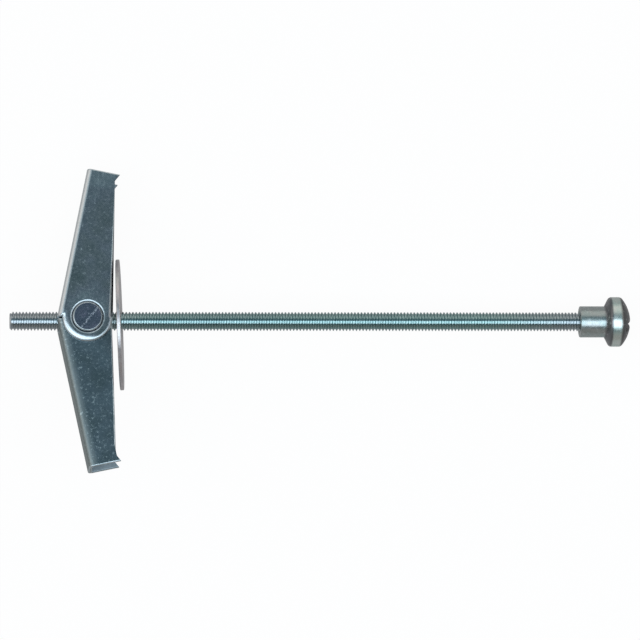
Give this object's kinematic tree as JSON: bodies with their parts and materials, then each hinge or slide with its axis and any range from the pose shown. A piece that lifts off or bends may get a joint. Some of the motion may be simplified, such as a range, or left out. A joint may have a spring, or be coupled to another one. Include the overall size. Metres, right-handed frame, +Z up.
{
  "type": "spring toggle bolt",
  "caption": "Long threaded rod with a sprung folding toggle at one end, a loose wide washer and a domed sleeve nut at the other, for fixing to hollow walls and ceilings.",
  "frame": {"origin": "bottom centre of the bounding box of the part as it lies", "axes": "+X along the rod towards the domed head, +Y towards the tip of the outer wing, +Z up"},
  "size_m": [0.1312, 0.064, 0.0275],
  "materials": {
    "rod_zinc": "bluish zinc-plated rolled thread",
    "nut_zinc": "zinc-plated turned steel",
    "washer_zinc": "zinc-plated punched sheet",
    "trunnion_zinc": "zinc-plated turned steel",
    "spring_wire": "dark drawn spring wire",
    "outer_wing_zinc": "bluish zinc-plated pressed sheet",
    "inner_wing_zinc": "bluish zinc-plated pressed sheet"
  },
  "bodies": {
    "rod": {"threaded_rod": "rod_zinc"},
    "sleeve_nut": {"sleeve_nut": "nut_zinc"},
    "toggle": {"trunnion_nut": "trunnion_zinc", "torsion_spring": "spring_wire"},
    "outer_wing": {"outer_wing": "outer_wing_zinc"},
    "inner_wing": {"inner_wing": "inner_wing_zinc"},
    "washer": {"washer": "washer_zinc"}
  },
  "joints": [
    {"name": "sleeve_nut_turn", "type": "hinge", "parent": "rod", "child": "sleeve_nut", "pos_m": [0.05485, -0.00011, 0.00579], "axis": [-0.9978, 0, 0.0661], "range_deg": [-6120, 0]},
    {"name": "toggle_travel", "type": "slide", "parent": "rod", "child": "toggle", "axis": [0.9978, 0, -0.0661], "range_m": [-0.0119, 0]},
    {"name": "wing_fold", "type": "hinge", "parent": "toggle", "child": "outer_wing", "pos_m": [-0.04932, -0.00011, 0.01269], "axis": [-0.0643, -0.2361, -0.9696], "range_deg": [0, 80], "stiffness_Nm_per_rad": 0.01, "springref_deg": -57.3, "deforming": ["torsion_spring"]},
    {"name": "inner_wing_fold", "type": "hinge", "parent": "toggle", "child": "inner_wing", "pos_m": [-0.04932, -0.00011, 0.01269], "axis": [0.0643, 0.2361, 0.9696], "range_deg": [0, 80]},
    {"name": "washer_slide", "type": "slide", "parent": "rod", "child": "washer", "axis": [0.9978, 0, -0.0661], "range_m": [0, 0.0955]}
  ],
  "couplings": [
    {"joint": "sleeve_nut_turn", "follows": "toggle_travel", "rad_per_m": 8975.9},
    {"joint": "wing_fold", "follows": "washer_slide", "rad_per_m": 14.62},
    {"joint": "inner_wing_fold", "follows": "washer_slide", "rad_per_m": 14.62}
  ]
}
